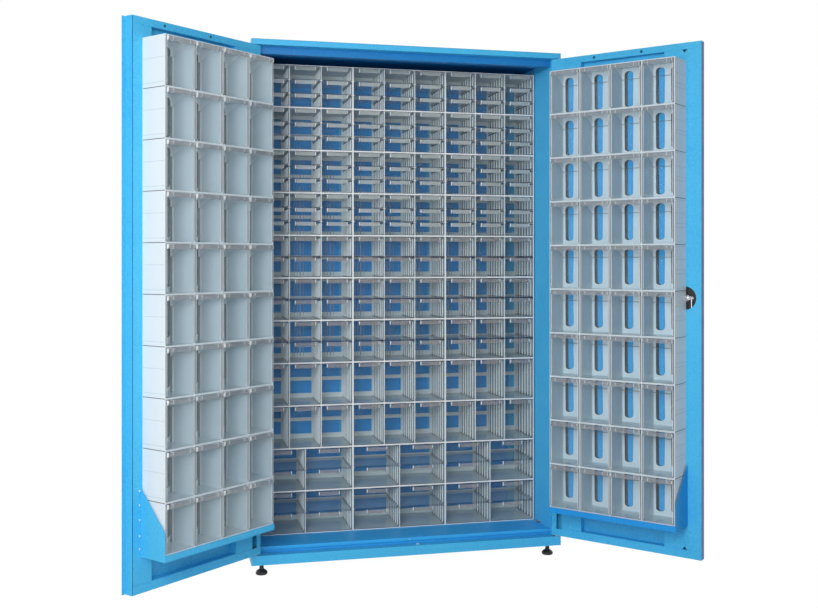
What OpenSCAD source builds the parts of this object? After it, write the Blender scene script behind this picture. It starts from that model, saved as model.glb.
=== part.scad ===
// Two-door steel cabinet full of clear plastic drawers, with tilting bins on both doors.
// Millimetres. X runs to the right, Y into the cabinet and Z up.
// The origin is on the floor, under the middle of the cabinet's front edge.
// The doors stand open at the two rest angles, and the drawers and bins are shut.

/* [Drawer modules] */
// Width of one drawer module
module_w = 382; // [340:1:420]
// Height of one drawer module, and of one row of door bins
module_h = 167.8; // [150:0.1:185]
// Depth of one drawer module
module_d = 220; // [180:1:260]
// Thickness of a module's moulded walls
wall = 2.6; // [2:0.1:3.2]
// Thickness of a module's rear wall
rear_wall = 2; // [1.6:0.1:3]
// Gap between stacked or neighbouring mouldings, and under what rests on a seat
seat = 0.3; // [0.2:0.05:0.5]
// Width of the ledge that a drawer runs on
ledge_w = 5; // [3:0.5:8]
// Thickness of that ledge
ledge_t = 1.6; // [1.2:0.1:2.4]
// Width of the solid border beside a rear window
window_edge = 7; // [5:0.5:12]
// Height from a cell's floor to the lower rear window
window_foot = 19; // [10:1:26]
// Height of the lower rear window
window_low_h = 52; // [40:1:58]
// Height of the bridge between the rear windows
window_bridge = 15; // [8:1:22]
// Distance from the upper rear window to the cell's ceiling
window_head = 16; // [8:1:22]
// Empty depth between the module fronts and the case's front plane
front_space = 174; // [150:1:200]
// Gap between the outer modules and the side panels
side_gap = 5.7; // [3:0.1:10]
// Gap above the top modules, up to the front rail
head_gap = 2.9; // [1:0.1:8]

/* [Drawers] */
// Thickness of a drawer's or bin's walls
drawer_wall = 1.6; // [1.2:0.1:2.2]
// Sideways gap on each side of a drawer
drawer_side = 0.7; // [0.4:0.1:1]
// Gap over a drawer
drawer_over = 1.2; // [0.8:0.1:2]
// Gap behind a shut drawer
drawer_behind = 4; // [2:0.5:8]
// Height of the label grip
grip_h = 15; // [10:0.5:18]
// How far the label grip stands out
grip_d = 9; // [6:0.5:11]
// Thickness of the label grip's walls
grip_t = 1.4; // [1:0.1:2]
// Width of a drawer's label grip
grip_w = 82; // [60:1:90]
// Distance from the drawer's top edge down to the label grip
grip_drop = 1; // [0.5:0.5:4]

/* [Door bins] */
// Depth of the frames on the doors
bin_frame_d = 110; // [90:1:125]
// Gap behind a shut bin
bin_behind = 3; // [2:0.5:6]
// Distance from a bin's top down to the arc of its sides
arc_drop = 3.5; // [3:0.5:8]
// Distance of a bin's pivot from its front and from its bottom
bin_pivot = 4; // [3:0.5:6]
// Distance from a bin's side to its label grip
bin_grip_side = 3.5; // [2:0.5:12]
// Width of the upright slots in a bin frame's rear wall
slot_w = 29; // [20:1:32]
// Height from the cell's floor to the slots
slot_foot = 16; // [8:1:40]
// Height from the slots to the frame's top
slot_head = 13; // [8:1:35]
// Distance of each slot's middle from the cell's middle
slot_off = 30; // [24:1:34]
// Depth of the fine grooves in a bin frame's sides
groove_d = 0.5; // [0.3:0.1:1]
// Width of those grooves
groove_w = 1; // [0.6:0.1:2]
// Distance from the door's pivot to the bins
stack_edge = 41; // [38:1:50]
// Distance from the bins to the left door's free edge
stack_free = 43; // [36:1:60]
// Height of the bins' tray over the door's bottom edge
tray_rise = 139; // [120:1:150]
// Height of the tray's folded lip
tray_lip = 20; // [12:1:30]
// Height of the tray's cheek at the door
cheek_rear = 225; // [150:5:280]
// Height of the tray's cheek at the front
cheek_front = 95; // [60:5:140]
// Gap between the bins and the tray's cheek
cheek_gap = 4; // [2:0.5:8]
// Thickness of the tray's sheet
tray_t = 2; // [1.5:0.1:3]

/* [Case] */
// Thickness of the cabinet's folded sheet
sheet = 1.5; // [1:0.1:2]
// Thickness of the double-skinned side panels
side_t = 31; // [24:1:40]
// Height of the cap
cap_h = 22; // [18:1:30]
// Radius of the bend at the cap's front top edge
cap_bend = 4; // [2:0.5:6]
// Height of the rail under the cap
rail_h = 28; // [20:1:40]
// Depth of the rail under the cap
rail_d = 30; // [20:1:40]
// Height of the base
base_h = 36; // [30:1:60]
// Width of the base's folded bottom edges
base_fold = 20; // [14:1:28]
// Height of the floor over the base
floor_t = 18; // [14:1:24]
// Height of the floor's front lip
lip_h = 12; // [8:1:14]
// How far the lip stands over the floor
lip_over = 6; // [2:1:8]
// Depth of the floor's front lip
lip_d = 12; // [6:1:20]
// Depth of the upright rails behind the modules
hook_rail_t = 9.2; // [5:0.1:14]
// Width of those rails
hook_rail_w = 40; // [25:1:60]
// Height from the floor to the base
foot_h = 44; // [36:1:60]

/* [Feet] */
// Radius of a levelling foot's pad
pad_r = 22; // [18:1:28]
// Height of a levelling foot's pad
pad_h = 20; // [14:1:26]
// Size of the bevel under the pad
pad_bevel = 2.5; // [1:0.5:4]
// Height of the pad's upright rim
pad_rim = 9; // [6:0.5:12]
// Radius of the pad's shoulder
shoulder_r = 17.5; // [14:0.5:17.5]
// Radius of the foot's neck
neck_r = 9; // [7:0.5:11]
// Radius of the neck's waist
waist_r = 7; // [5.5:0.5:7]
// Height of the neck's flare under the base
flare_h = 8; // [5:0.5:12]
// Radius of the foot's screw
screw_r = 5; // [4:0.5:5]
// Room over the foot's screw, under the base's top
screw_room = 2; // [1:0.5:4]
// Running clearance round a screw or a pin
fit = 0.05; // [0.03:0.01:0.1]
// Distance from the cabinet's side to a foot's middle
foot_inset_x = 41; // [30:1:60]
// Distance from the cabinet's front or back to a foot's middle
foot_inset_y = 42; // [30:1:60]
// Radius of the nut boss that takes a foot's screw
boss_r = 12; // [10:0.5:15]

/* [Doors] */
// Thickness of the doors
door_t = 30; // [26:1:36]
// Gap between the shut doors and the case
door_back_gap = 3; // [2.5:0.5:5]
// Height of the gap under the doors
door_under = 6; // [4:0.5:8]
// Height of the gap over the doors
door_over = 4; // [3:0.5:6]
// Distance from the cabinet's side to the door's pivot
pivot_in = 16; // [14:0.5:20]
// Distance from the door's outer face to its pivot
pivot_back = 12; // [10:0.5:14]
// How far the door reaches past its pivot
hinge_edge = 8; // [7:0.5:9]
// How far the meeting line of the doors lies left of the middle
meeting_off = 7; // [0:0.5:10]
// Gap between the shut doors
meeting_gap = 2; // [1.5:0.1:3]
// Width of the left door's cover strip
strip_w = 17.5; // [12:0.5:20]
// Thickness of the cover strip
strip_t = 1.2; // [1:0.1:1.5]
// How far the cover strip stops short of the door's ends
strip_short = 2; // [0.5:0.5:10]
// Depth of the step that takes the cover strip
step_t = 2.2; // [2:0.1:3]
// Width of the doors' hinge stiles
hinge_stile = 119; // [100:1:125]
// Width of the left door's free stile
left_stile = 81; // [70:1:100]
// Width of the right door's free stile
right_stile = 141; // [125:1:150]
// Height of the doors' bottom rails
bottom_rail = 30; // [24:1:40]
// Height of the doors' top rails
top_rail = 25; // [22:1:40]
// Width of the seams in the doors' inner faces
seam_w = 1.6; // [1:0.1:2.5]
// Depth of those seams
seam_d = 1; // [0.5:0.1:1]
// Distance from the right door's free edge to its seams
seam_short = 10; // [4:1:20]
// Distance from the left door's free edge to its upright seam
seam_edge = 1; // [0.5:0.5:4]
// Opening angle of the left door at rest
left_angle = 139.26; // [100:0.01:150]
// Opening angle of the right door at rest
right_angle = 130.64; // [100:0.01:150]

/* [Hinges] */
// Radius of the hinge pins
pin_r = 5; // [4:0.5:6]
// How far a pin reaches into the door
pin_in = 28; // [20:1:34]
// How far a pin reaches into the base or the cap
pin_hold = 14; // [8:1:18]
// Radius of the bush round a pin
bush_r = 9; // [7.5:0.5:10]
// Height of that bush
bush_h = 24; // [18:1:30]
// Radius of the brass washers
washer_r = 11; // [9:0.5:12]

/* [Lock] */
// Height of the lock's middle from the floor
lock_z = 1038; // [900:1:1150]
// Distance from the right door's free edge to the lock's middle
lock_in = 62; // [58:1:70]
// Radius of the hole in the door's inner face
lock_hole_r = 43; // [40:0.5:46]
// Radius of the handle dish's body
dish_r = 40; // [36:0.5:42]
// Radius of the dish's outer rim
dish_rim_r = 46; // [43:0.5:50]
// Depth of the dish
dish_d = 17; // [14:0.5:18]
// Thickness of the dish's walls
dish_t = 2; // [1.6:0.1:2.5]
// Radius of the handle's spindle
spindle_r = 6; // [5:0.5:7]
// Length of the handle's bar
bar_l = 66; // [56:1:70]
// Width of the handle's bar
bar_w = 18; // [14:1:22]
// Distance from the spindle to the crank's rod holes
crank_r = 23; // [18:1:26]
// Thickness of the crank
crank_t = 3; // [2:0.5:3.5]
// Radius of the crank's middle
crank_hub_r = 14; // [12:0.5:16]
// Width of the crank's metal round a rod hole
ear_wall = 3; // [2:0.5:4]
// Radius of the nut that holds the crank
nut_r = 8; // [7:0.5:10]
// Height of that nut
nut_h = 8; // [4:0.5:8.5]
// Height of the handle's bar
bar_h = 12; // [9:0.5:14]
// Radius of the lock rods
rod_r = 3; // [2.5:0.5:3.5]
// Depth of the lock rods' middle behind the door's outer face
rod_into = 24; // [23.5:0.1:24.5]
// Clearance round a rod where it passes a guide, the door, the base or the cap
rod_gap = 2; // [1.5:0.1:3]
// Sideways room that a rod swings through while the handle turns
rod_swing = 6; // [5.5:0.5:8]
// Distance from the door's end to a rod guide
guide_end = 24; // [16:1:60]
// Height of a rod guide
guide_h = 8; // [5:1:14]
// Width of a rod guide's wall on each side of its slot
guide_wall = 4; // [2.5:0.5:6]

/* [Door details] */
// Width of the window over a hinge in the hinge stile
window_w = 23; // [14:1:28]
// Height of the window over a hinge
window_h = 60; // [40:1:80]
// Distance from the door's pivot to that window
window_in = 12; // [10:1:16]
// Distance from the door's end to that window
window_end = 27; // [26:1:50]
// Radius of the two holes in the top flange
flange_hole_r = 5; // [3:0.5:7]
// Distances of those holes from the left door's pivot
left_hole_a = 240; // [150:1:300]
left_hole_b = 448; // [350:1:490]
// Distances of those holes from the right door's pivot
right_hole_a = 175; // [140:1:250]
right_hole_b = 369; // [300:1:440]
// Width of the three-cornered notches in the right door's free stile
notch_w = 21; // [14:1:24]
// Height of those notches
notch_h = 13; // [8:1:18]

/* [Hidden] */
$fn = 48;

// Modules across, and the columns and levels of each row from the top down
modules_across = 3;
ROW_KINDS = [
    for (n = [1 : 4]) [3, 3],
    for (n = [1 : 3]) [3, 2],
    for (n = [1 : 2]) [3, 1],
    for (n = [1 : 2]) [2, 2]
];
case_rows = len(ROW_KINDS);
bin_rows = 10;
bin_cols = 4;

// Case, from the modules outwards
row_pitch = module_h + seat;
column_pitch = module_w + seat;
modules_w = modules_across * column_pitch - seat;
inner_w = modules_w + 2 * side_gap;
cab_w = inner_w + 2 * side_t;
case_front = door_t + door_back_gap;
module_y = case_front + front_space;
rail_y = module_y + module_d + seat;
back_y = rail_y + hook_rail_t;
cab_d = back_y + sheet;
base_top = foot_h + base_h;
floor_z = base_top + floor_t;
modules_z = floor_z + seat;
rail_z = modules_z + case_rows * row_pitch - seat + head_gap;
cap_z = rail_z + rail_h;
cab_h = cap_z + cap_h;

// Doors
pivot_x = cab_w / 2 - pivot_in;
pivot_y = pivot_back;
door_z = base_top + door_under;
door_top = cap_z - door_over;
door_h = door_top - door_z;
left_w = pivot_x - meeting_off - meeting_gap / 2;
right_w = pivot_x + meeting_off - meeting_gap / 2;
recess_a = hinge_stile;
lock_a = right_w - lock_in;

// Bins on the doors, measured along a door from its pivot and into it from its outer face
stack_w = left_w - stack_edge - stack_free;
stack_into = door_t + seat;
stack_front = stack_into + bin_frame_d;
tray_z = door_z + tray_rise;
stack_z = tray_z + seat;
bin_cell_w = (stack_w - (bin_cols + 1) * wall) / bin_cols;
cell_h = module_h - 2 * wall;
bin_d = bin_frame_d - rear_wall - bin_behind;
bin_h = cell_h - seat - drawer_over;
bin_reach = bin_h - bin_pivot - arc_drop;
bin_rear_h = bin_pivot + sqrt(bin_reach * bin_reach - (bin_d - bin_pivot) * (bin_d - bin_pivot));

slot_steps = 8;
rear_arc_steps = 8;
bend_steps = 5;
eps = 0.01;
// How far a cut runs past the face that it opens
over = 1;

// Drawers that slide by themselves: row from the top, module, column, level from the bottom
SMALL_UPPER = [2, 1, 1, 2];
SMALL_LOWER = [2, 1, 1, 0];
MEDIUM = [5, 2, 0, 1];
TALL = [8, 1, 1, 0];
WIDE_UPPER = [9, 1, 0, 1];
WIDE_LOWER = [10, 2, 0, 0];
LOOSE_DRAWERS = [SMALL_UPPER, SMALL_LOWER, MEDIUM, TALL, WIDE_UPPER, WIDE_LOWER];

// Rows of bins, from the top down, whose frames on each door are a node by themselves
OPEN_ROWS = [5, 7];
CLOSED_ROWS = [
    for (n = [1 : bin_rows])
        if (len([for (r = OPEN_ROWS) if (r == n) r]) == 0) n
];

blue = [0.25, 0.66, 0.9];
pale = [0.86, 0.88, 0.88];
clear_tint = [0.78, 0.84, 0.87, 0.6];
zinc = [0.75, 0.76, 0.78];
brass = [0.72, 0.5, 0.25];
black = [0.06, 0.06, 0.07];

// The name of a row of bins, counted from the top
function bin_row_name(side, n) = str("bins_", side, n < 10 ? "_0" : "_", n);

// A box between two corners
module block(low, high) {
    translate(low) cube(high - low);
}

// A flat outline in X and Z, given depth from y0 to y1
module slab_y(y0, y1) {
    translate([0, y1, 0]) rotate([90, 0, 0]) linear_extrude(y1 - y0) children();
}

// Case

function foot_x() = cab_w / 2 - foot_inset_x;

function foot_places() = [
    [-foot_x(), foot_inset_y],
    [foot_x(), foot_inset_y],
    [-foot_x(), cab_d - foot_inset_y],
    [foot_x(), cab_d - foot_inset_y]
];

// The four places where a lock rod or a hinge pin enters the base or the cap
module pin_holes(z0, z1) {
    for (side = [-1, 1])
        translate([side * pivot_x, pivot_y, z0]) cylinder(r = pin_r, h = z1 - z0);
}

// A slot for a lock rod, stretched to the side that the rod swings to while the handle turns
module rod_slot(swing, z0, z1) {
    r = rod_r + rod_gap;
    for (x = [0, swing])
        translate([x, 0, z0]) cylinder(r = r, h = z1 - z0);
    block([min(0, swing), -r, z0], [max(0, swing), r, z1]);
}

// The same slot in the base or the cap, under or over the shut right door
module case_rod_slot(side, z0, z1) {
    translate([pivot_x - lock_a - side * crank_r, rod_into, 0])
        rod_slot(-side * rod_swing, z0, z1);
}

module base_frame() {
    half = cab_w / 2;
    color(blue) {
        difference() {
            block([-half, 0, foot_h], [half, cab_d, base_top]);
            block(
                [-half + sheet, sheet, foot_h + sheet],
                [half - sheet, cab_d - sheet, base_top - sheet]
            );
            block(
                [-half + base_fold, base_fold, foot_h - over],
                [half - base_fold, cab_d - base_fold, foot_h + sheet + over]
            );
            pin_holes(base_top - 2 * sheet, base_top + over);
            case_rod_slot(1, base_top - 2 * sheet, base_top + over);
            for (p = foot_places())
                translate([p[0], p[1], foot_h - over])
                    cylinder(r = boss_r - sheet, h = sheet + 2 * over);
        }
        for (p = foot_places())
            translate([p[0], p[1], foot_h]) difference() {
                cylinder(r = boss_r, h = base_h - sheet);
                translate([0, 0, -over]) cylinder(r = screw_r + fit, h = base_h + over);
            }
        for (side = [-1, 1])
            translate([side * pivot_x, pivot_y, base_top - sheet - pin_hold]) difference() {
                cylinder(r = bush_r, h = pin_hold);
                cylinder(r = pin_r, h = pin_hold + over);
            }
    }
}

module foot() {
    color(black) {
        rotate_extrude() polygon([
            [0, 0], [pad_r - pad_bevel, 0], [pad_r, pad_bevel], [pad_r, pad_rim],
            [shoulder_r, (pad_rim + pad_h) / 2], [neck_r, pad_h],
            [waist_r, foot_h - flare_h], [neck_r, foot_h - seat], [0, foot_h - seat]
        ]);
        translate([0, 0, foot_h - seat - eps])
            cylinder(r = screw_r, h = base_h - sheet - screw_room);
    }
}

module foot_at(n) {
    p = foot_places()[n];
    translate([p[0], p[1], 0]) foot();
}

module floor_panel() {
    half = inner_w / 2;
    color(blue) union() {
        block([-half, case_front + lip_d, floor_z - sheet], [half, back_y, floor_z]);
        block([-half, case_front + lip_d, base_top], [half, case_front + lip_d + sheet, floor_z]);
        block([-half, back_y - sheet, base_top], [half, back_y, floor_z]);
        block(
            [-half, case_front, floor_z + lip_over - lip_h],
            [half, case_front + lip_d + sheet, floor_z + lip_over]
        );
    }
}

module side_panel(side) {
    color(blue) mirror([side < 0 ? 1 : 0, 0, 0]) difference() {
        block([inner_w / 2, case_front, base_top], [cab_w / 2, back_y, cap_z]);
        block(
            [inner_w / 2 + sheet, case_front + sheet, base_top - over],
            [cab_w / 2 - sheet, back_y - sheet, cap_z + over]
        );
    }
}

module back_panel() {
    color(blue) block([-cab_w / 2, back_y, base_top], [cab_w / 2, cab_d, cap_z]);
}

module ceiling_panel() {
    half = inner_w / 2;
    color(blue) union() {
        block([-half, case_front, cap_z - sheet], [half, back_y, cap_z]);
        block([-half, case_front, rail_z], [half, case_front + sheet, cap_z]);
        block([-half, case_front, rail_z], [half, case_front + rail_d, rail_z + sheet]);
        block([-half, back_y - sheet, rail_z], [half, back_y, cap_z]);
    }
}

// The cap seen from its side, t inside its skin, with the bend at the front top edge
module cap_side(t) {
    r = cap_bend - t;
    polygon(concat(
        [[cab_d - t, cab_h - t], [cab_d - t, cap_z + t], [t, cap_z + t]],
        [for (n = [0 : bend_steps])
            let (turn = 90 * n / bend_steps)
                [cap_bend - r * cos(turn), cab_h - cap_bend + r * sin(turn)]]
    ));
}

// The same outline across the cabinet, up to x on both sides
module cap_body(x, t) {
    translate([-x, 0, 0]) rotate([90, 0, 90]) linear_extrude(2 * x) cap_side(t);
}

module top_cap() {
    half = cab_w / 2;
    shelf = case_front + rail_d;
    color(blue) {
        difference() {
            cap_body(half, 0);
            cap_body(half - sheet, sheet);
            block(
                [-half + shelf, shelf, cap_z - over],
                [half - shelf, cab_d - rail_d, cap_z + sheet + over]
            );
            pin_holes(cap_z - over, cap_z + 2 * sheet);
            case_rod_slot(-1, cap_z - over, cap_z + 2 * sheet);
        }
        for (side = [-1, 1])
            translate([side * pivot_x, pivot_y, cap_z + sheet]) difference() {
                cylinder(r = bush_r, h = pin_hold);
                translate([0, 0, -over]) cylinder(r = pin_r, h = pin_hold + over);
            }
    }
}

// Upright rails that the modules hook onto, at every joint between modules
module hook_rails() {
    edge = modules_w / 2 - hook_rail_w / 2;
    color(blue) for (n = [0 : modules_across]) {
        x = n == 0 ? -edge : n == modules_across ? edge : (n - modules_across / 2) * column_pitch;
        translate([x - hook_rail_w / 2, rail_y, floor_z]) difference() {
            cube([hook_rail_w, hook_rail_t, rail_z - floor_z]);
            translate([sheet, sheet, -over])
                cube([hook_rail_w - 2 * sheet, hook_rail_t, rail_z - floor_z + 2 * over]);
        }
    }
}

// Four pins, and a washer round each of the lower two
module hinge_pins() {
    color(brass) for (side = [-1, 1]) translate([side * pivot_x, pivot_y, 0]) {
        translate([0, 0, base_top - sheet - pin_hold])
            cylinder(r = pin_r, h = pin_hold + sheet + door_under + pin_in);
        translate([0, 0, door_top - pin_in])
            cylinder(r = pin_r, h = pin_in + door_over + sheet + pin_hold);
        translate([0, 0, base_top + seat / 2]) difference() {
            cylinder(r = washer_r, h = door_under - seat);
            translate([0, 0, -over]) cylinder(r = pin_r + fit, h = door_under + 2 * over);
        }
    }
}

// Drawer modules

function cell_w(cols) = (module_w - (cols + 1) * wall) / cols;
function level_h(levels) = cell_h / levels;
function cell_x(cols, c) = wall + c * (cell_w(cols) + wall);
function level_z(levels, l) = wall + l * level_h(levels);
function drawer_h(levels) = level_h(levels) - seat - drawer_over - (levels > 1 ? ledge_t : 0);
function row_z(r) = modules_z + (case_rows - 1 - r) * row_pitch;
function module_x(m) = -modules_w / 2 + m * column_pitch;

module module_section(cols, levels) {
    difference() {
        square([module_w, module_h]);
        for (c = [0 : cols - 1])
            translate([cell_x(cols, c), 0]) difference() {
                translate([0, wall]) square([cell_w(cols), cell_h]);
                if (levels > 1)
                    for (l = [1 : levels - 1])
                        for (x = [0, cell_w(cols) - ledge_w])
                            translate([x, level_z(levels, l) - ledge_t]) square([ledge_w, ledge_t]);
            }
    }
}

// The rear wall, with two windows behind each column
module rear_section(cols) {
    w = cell_w(cols) - 2 * window_edge;
    low = wall + window_foot;
    high = low + window_low_h + window_bridge;
    difference() {
        square([module_w, module_h]);
        for (c = [0 : cols - 1])
            translate([cell_x(cols, c) + window_edge, 0]) {
                translate([0, low]) square([w, window_low_h]);
                translate([0, high]) square([w, module_h - wall - window_head - high]);
            }
    }
}

module drawer_module(cols, levels) {
    slab_y(0, module_d - rear_wall + eps) module_section(cols, levels);
    slab_y(module_d - rear_wall, module_d) rear_section(cols);
}

module frames_of(cols, levels) {
    color(pale) for (r = [0 : case_rows - 1])
        if (ROW_KINDS[r] == [cols, levels])
            for (m = [0 : modules_across - 1])
                translate([module_x(m), module_y, row_z(r)]) drawer_module(cols, levels);
}

// A label holder that is also the finger grip, open underneath, in the middle of a front
module label_grip(front_w, top, w) {
    translate([(front_w - w) / 2, -grip_d, top - grip_drop - grip_h]) difference() {
        cube([w, grip_d + eps, grip_h]);
        translate([grip_t, grip_t, -over])
            cube([w - 2 * grip_t, grip_d + over, grip_h - grip_t + over]);
    }
}

// An open box with its front on the plane y = 0
module drawer(cols, levels) {
    w = cell_w(cols) - 2 * drawer_side;
    h = drawer_h(levels);
    d = module_d - rear_wall - drawer_behind;
    union() {
        difference() {
            cube([w, d, h]);
            translate([drawer_wall, drawer_wall, drawer_wall])
                cube([w - 2 * drawer_wall, d - 2 * drawer_wall, h]);
        }
        label_grip(w, h, grip_w);
    }
}

module drawer_at(place) {
    kind = ROW_KINDS[place[0]];
    x = module_x(place[1]) + cell_x(kind[0], place[2]) + drawer_side;
    z = row_z(place[0]) + level_z(kind[1], place[3]) + seat;
    color(clear_tint) translate([x, module_y, z]) drawer(kind[0], kind[1]);
}

module drawers_of(cols, levels) {
    for (r = [0 : case_rows - 1])
        if (ROW_KINDS[r] == [cols, levels])
            for (m = [0 : modules_across - 1])
                for (c = [0 : cols - 1])
                    for (l = [0 : levels - 1])
                        if (!is_loose([r, m, c, l])) drawer_at([r, m, c, l]);
}

function is_loose(place) = len([for (p = LOOSE_DRAWERS) if (p == place) p]) > 0;

// Doors, drawn along X from the pivot with the outer face on y = 0

module place_left() {
    translate([-pivot_x, pivot_y, 0]) rotate([0, 0, -left_angle]) translate([0, -pivot_y, 0])
        children();
}

module place_right() {
    mirror([1, 0, 0]) translate([-pivot_x, pivot_y, 0]) rotate([0, 0, -right_angle])
        translate([0, -pivot_y, 0]) children();
}

// A shallow groove in a door's inner face, where two sheets meet
module seam(low, high) {
    block([low[0], door_t - seam_d, low[1]], [high[0], door_t + over, high[1]]);
}

module door_shell(w, free_stile, step, seam_stop) {
    recess_b = w - free_stile;
    recess_z = door_z + bottom_rail;
    recess_top = door_top - top_rail;
    difference() {
        block([-hinge_edge, 0, door_z], [w, door_t, door_top]);
        difference() {
            block(
                [-hinge_edge + sheet, sheet, door_z + sheet],
                [w - sheet, door_t - sheet, door_top - sheet]
            );
            block(
                [recess_a - sheet, 0, recess_z - sheet],
                [recess_b + sheet, door_t, recess_top + sheet]
            );
            if (step > 0)
                block([w - strip_w - sheet, 0, door_z], [w, step + sheet, door_top]);
        }
        block([recess_a, sheet, recess_z], [recess_b, door_t + over, recess_top]);
        if (step > 0)
            block([w - strip_w, -over, door_z - over], [w + over, step, door_top + over]);
        for (z = [door_z - over, door_top - 2 * sheet])
            translate([0, pivot_y, z]) cylinder(r = pin_r + fit, h = 2 * sheet + over);
        block(
            [window_in, door_t - 2 * sheet, door_z + window_end],
            [window_in + window_w, door_t + over, door_z + window_end + window_h]
        );
        for (z = [recess_z, recess_top]) {
            seam([-hinge_edge - over, z - seam_w / 2], [recess_a + over, z + seam_w / 2]);
            seam([recess_b - over, z - seam_w / 2], [w - seam_stop, z + seam_w / 2]);
        }
    }
    for (z = [door_z, door_top - bush_h])
        translate([0, pivot_y, z]) difference() {
            cylinder(r = bush_r, h = bush_h);
            translate([0, 0, -over]) cylinder(r = pin_r + fit, h = bush_h + 2 * over);
        }
}

// A round hole through the door's inner skin
module inner_hole(a, z, r) {
    translate([a, door_t + over, z]) rotate([90, 0, 0]) cylinder(r = r, h = 2 * sheet + over);
}

module door_left() {
    color(blue) place_left() {
        difference() {
            door_shell(left_w, left_stile, 0, -over);
            for (a = [left_hole_a, left_hole_b])
                inner_hole(a, door_top - top_rail / 2, flange_hole_r);
            seam(
                [left_w - seam_edge - seam_w, door_z - over],
                [left_w - seam_edge, door_top + over]
            );
        }
        block(
            [left_w - sheet, 0, door_z + strip_short],
            [left_w + strip_w, strip_t, door_top - strip_short]
        );
    }
}

// A three-cornered hole over the lock, with its base on a seam and its tip tip_h away
module notch(z, tip_h) {
    slab_y(door_t - 2 * sheet, door_t + over) polygon([
        [lock_a - notch_w / 2, z],
        [lock_a + notch_w / 2, z],
        [lock_a, z + tip_h]
    ]);
}

module door_right() {
    color(blue) place_right() {
        difference() {
            door_shell(right_w, right_stile, step_t, seam_short);
            for (a = [right_hole_a, right_hole_b])
                inner_hole(a, door_top - top_rail / 2, flange_hole_r);
            inner_hole(lock_a, lock_z, lock_hole_r);
            translate([lock_a, -over, lock_z]) rotate([-90, 0, 0])
                cylinder(r = dish_r + seat, h = 2 * sheet + over);
            notch(door_z + bottom_rail, notch_h);
            notch(door_top - top_rail, -notch_h);
            door_rod_slot(-1, door_top - 2 * sheet, door_top + over);
            door_rod_slot(1, door_z - over, door_z + 2 * sheet);
        }
        for (side = [-1, 1]) rod_guide(side);
    }
}

// The rods' slots in the door's ends and guides: side is -1 for the upper rod, 1 for the lower
module door_rod_slot(side, z0, z1) {
    translate([lock_a + side * crank_r, rod_into, 0]) rod_slot(side * rod_swing, z0, z1);
}

// The bins' tray: its floor, its front lip and a cheek at the door's free side
module tray() {
    a0 = stack_edge;
    a1 = stack_edge + stack_w + cheek_gap + tray_t;
    front = stack_front + cheek_gap + tray_t;
    color(blue) union() {
        block([a0, door_t, tray_z - tray_t], [a1, front, tray_z]);
        block([a0, front - tray_t, tray_z - tray_lip], [a1, front, tray_z]);
        translate([a1 - tray_t, 0, tray_z - tray_lip]) rotate([90, 0, 90]) linear_extrude(tray_t)
            polygon([[door_t, 0], [front, 0], [front, cheek_front], [door_t, cheek_rear]]);
    }
}

// Bin frames and bins

function bin_x(c) = stack_edge + wall + c * (bin_cell_w + wall);
function bin_z(r) = stack_z + r * row_pitch + wall;

// Fine grooves in the outer side walls, as shares of the frame's height
GROOVES = [0.05, 0.19, 0.43, 0.6, 0.83, 0.91];

module bin_section() {
    difference() {
        square([stack_w, module_h]);
        for (c = [0 : bin_cols - 1])
            translate([wall + c * (bin_cell_w + wall), wall]) square([bin_cell_w, cell_h]);
        for (g = GROOVES)
            for (x = [0, stack_w - groove_d])
                translate([x, g * module_h]) square([groove_d, groove_w]);
    }
}

// An upright slot with round ends, each of a few flat steps
module round_slot(r, z0, z1) {
    turn = 180 / slot_steps;
    polygon(concat(
        [for (n = [0 : slot_steps]) [r * cos(n * turn), z1 - r + r * sin(n * turn)]],
        [for (n = [0 : slot_steps]) [-r * cos(n * turn), z0 + r - r * sin(n * turn)]]
    ));
}

module bin_rear_section() {
    difference() {
        square([stack_w, module_h]);
        for (c = [0 : bin_cols - 1])
            for (side = [-1, 1])
                translate([wall + c * (bin_cell_w + wall) + bin_cell_w / 2 + side * slot_off, 0])
                    round_slot(slot_w / 2, wall + slot_foot, module_h - slot_head);
    }
}

module bin_frames(rows) {
    color(pale) for (n = rows)
        translate([stack_edge, 0, stack_z + (bin_rows - n) * row_pitch]) {
            slab_y(stack_into + rear_wall - eps, stack_front) bin_section();
            slab_y(stack_into, stack_into + rear_wall) bin_rear_section();
        }
}

// Side outline of a bin: u runs from the front face inwards and v up from the bottom
module bin_outline() {
    start = atan2(bin_rear_h - bin_pivot, bin_d - bin_pivot);
    steps = rear_arc_steps;
    polygon(concat(
        [for (n = [0 : 3]) bin_pivot * [1 - cos(30 * n), 1 - sin(30 * n)]],
        [[bin_d, 0], [bin_d, bin_rear_h]],
        [for (n = [1 : steps - 1])
            let (angle = start + n * (90 - start) / steps)
                [bin_pivot + bin_reach * cos(angle), bin_pivot + bin_reach * sin(angle)]],
        [[drawer_wall, bin_pivot + bin_reach], [drawer_wall, bin_h], [0, bin_h]]
    ));
}

module bin() {
    w = bin_cell_w - 2 * drawer_side;
    union() {
        difference() {
            translate([w, 0, 0]) rotate([90, 0, -90]) linear_extrude(w) bin_outline();
            translate([drawer_wall, drawer_wall - bin_d, drawer_wall])
                cube([w - 2 * drawer_wall, bin_d - 2 * drawer_wall, bin_h]);
        }
        mirror([0, 1, 0]) label_grip(w, bin_h, w - 2 * bin_grip_side);
    }
}

// A row of bins, counted from the top. Their fronts look away from the door
module bin_row(n) {
    color(clear_tint) for (c = [0 : bin_cols - 1])
        translate([bin_x(c) + drawer_side, stack_front, bin_z(bin_rows - n) + seat]) bin();
}

// Lock, drawn in the right door's own frame with the spindle along Y

module at_lock() {
    place_right() translate([lock_a, 0, lock_z]) rotate([-90, 0, 0]) children();
}

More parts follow.
